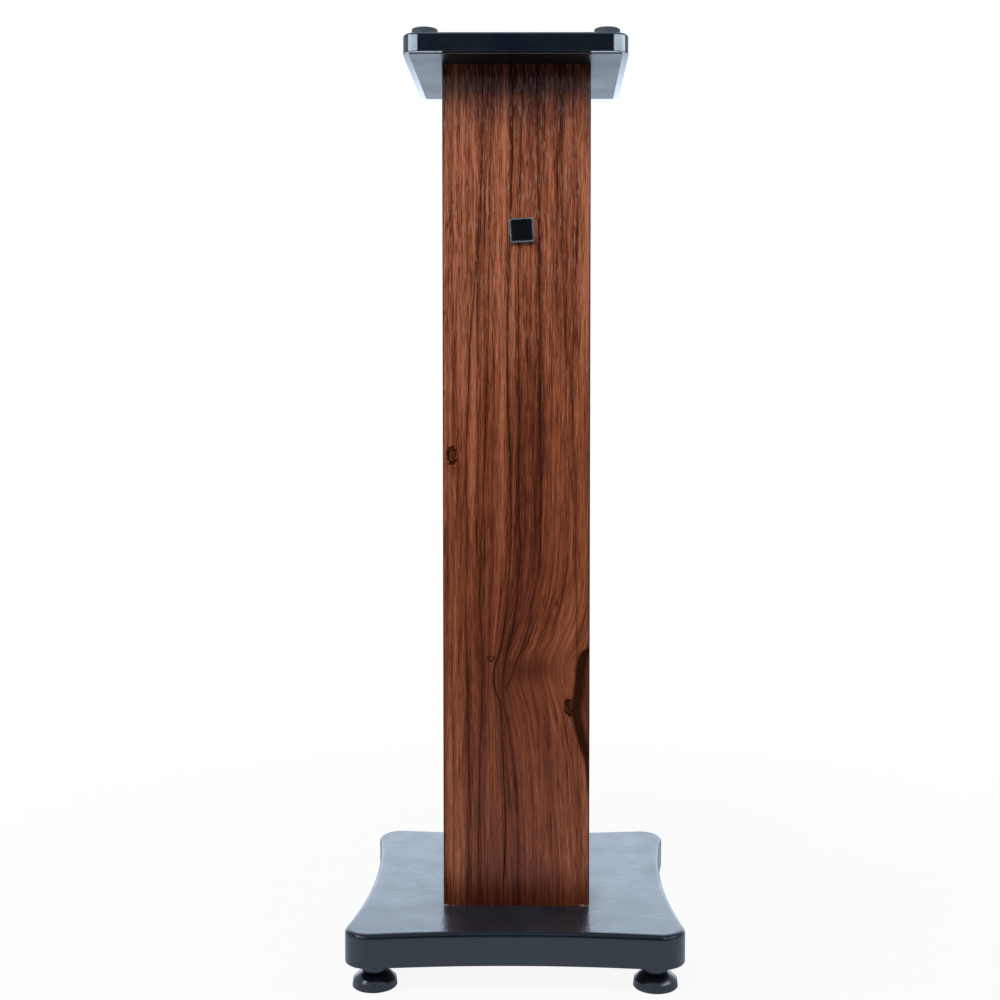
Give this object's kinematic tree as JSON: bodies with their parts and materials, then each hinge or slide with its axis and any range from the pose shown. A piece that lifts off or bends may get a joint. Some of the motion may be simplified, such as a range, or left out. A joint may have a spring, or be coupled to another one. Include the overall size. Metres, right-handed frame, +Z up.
{
  "type": "speaker stand",
  "caption": "Floor stand for a loudspeaker: wood-grain box column between a padded gloss top plate and a waisted base on levelling feet.",
  "frame": {"origin": "on the floor, under the middle of the base: centre of the bounding box in plan, and its lowest plane", "axes": "+Z up along the column; -Y towards the viewer of the front, which carries the badge; +X to that viewer's right"},
  "size_m": [0.251, 0.251, 0.705],
  "materials": {
    "textured_black": "fibreboard with a fine textured satin black coat",
    "wood_foil": "fibreboard wrapped in reddish brown wood grain, satin",
    "raw_board": "raw fibreboard",
    "satin_steel": "satin black powder coat",
    "gloss_black": "fibreboard with high gloss black lacquer",
    "badge_metal": "bright thin rim",
    "badge_face": "gloss black",
    "foam_tape": "adhesive foam",
    "insert_brass": "turned",
    "zinc_steel": "zinc plated",
    "black_steel": "black oxide",
    "socket_grey": "satin dark grey",
    "knob_black": "gloss black",
    "glide_rubber": "matte",
    "pad_rubber": "matte"
  },
  "bodies": {
    "stand": {"base_plate": "textured_black", "column_front": "wood_foil", "column_back": "wood_foil", "column_left": "wood_foil", "column_right": "wood_foil", "bottom_block": "raw_board", "top_block": "raw_board", "under_plate": "satin_steel", "top_plate": "gloss_black", "badge_body": "badge_metal", "badge_dome": "badge_face", "badge_pad": "foam_tape", "base_inserts": "insert_brass", "top_inserts": "insert_brass", "base_washers": "zinc_steel", "top_washers": "zinc_steel", "base_bolts": "black_steel", "top_bolts": "black_steel", "foot_socket_fl": "socket_grey", "top_pad_fl": "pad_rubber", "foot_socket_fr": "socket_grey", "top_pad_fr": "pad_rubber", "foot_socket_bl": "socket_grey", "top_pad_bl": "pad_rubber", "foot_socket_br": "socket_grey", "top_pad_br": "pad_rubber"},
    "glide_fl": {"foot_glide_fl": "glide_rubber"},
    "screw_fl": {"foot_knob_fl": "knob_black", "foot_stud_fl": "zinc_steel"},
    "glide_fr": {"foot_glide_fr": "glide_rubber"},
    "screw_fr": {"foot_knob_fr": "knob_black", "foot_stud_fr": "zinc_steel"},
    "glide_bl": {"foot_glide_bl": "glide_rubber"},
    "screw_bl": {"foot_knob_bl": "knob_black", "foot_stud_bl": "zinc_steel"},
    "glide_br": {"foot_glide_br": "glide_rubber"},
    "screw_br": {"foot_knob_br": "knob_black", "foot_stud_br": "zinc_steel"}
  },
  "joints": [
    {"name": "lower_fl", "type": "slide", "parent": "stand", "child": "glide_fl", "axis": [0, 0, -1], "range_m": [0, 0.0075]},
    {"name": "turn_fl", "type": "hinge", "parent": "glide_fl", "child": "screw_fl", "pos_m": [-0.104, -0.104, 0.0058], "axis": [0, 0, -1], "range_deg": [0, 2160]},
    {"name": "lower_fr", "type": "slide", "parent": "stand", "child": "glide_fr", "axis": [0, 0, -1], "range_m": [0, 0.0075]},
    {"name": "turn_fr", "type": "hinge", "parent": "glide_fr", "child": "screw_fr", "pos_m": [0.104, -0.104, 0.0058], "axis": [0, 0, -1], "range_deg": [0, 2160]},
    {"name": "lower_bl", "type": "slide", "parent": "stand", "child": "glide_bl", "axis": [0, 0, -1], "range_m": [0, 0.0075]},
    {"name": "turn_bl", "type": "hinge", "parent": "glide_bl", "child": "screw_bl", "pos_m": [-0.104, 0.104, 0.0058], "axis": [0, 0, -1], "range_deg": [0, 2160]},
    {"name": "lower_br", "type": "slide", "parent": "stand", "child": "glide_br", "axis": [0, 0, -1], "range_m": [0, 0.0075]},
    {"name": "turn_br", "type": "hinge", "parent": "glide_br", "child": "screw_br", "pos_m": [0.104, 0.104, 0.0058], "axis": [0, 0, -1], "range_deg": [0, 2160]}
  ],
  "couplings": [
    {"joint": "turn_fl", "follows": "lower_fl", "rad_per_m": 5026.5},
    {"joint": "turn_fr", "follows": "lower_fr", "rad_per_m": 5026.5},
    {"joint": "turn_bl", "follows": "lower_bl", "rad_per_m": 5026.5},
    {"joint": "turn_br", "follows": "lower_br", "rad_per_m": 5026.5}
  ]
}
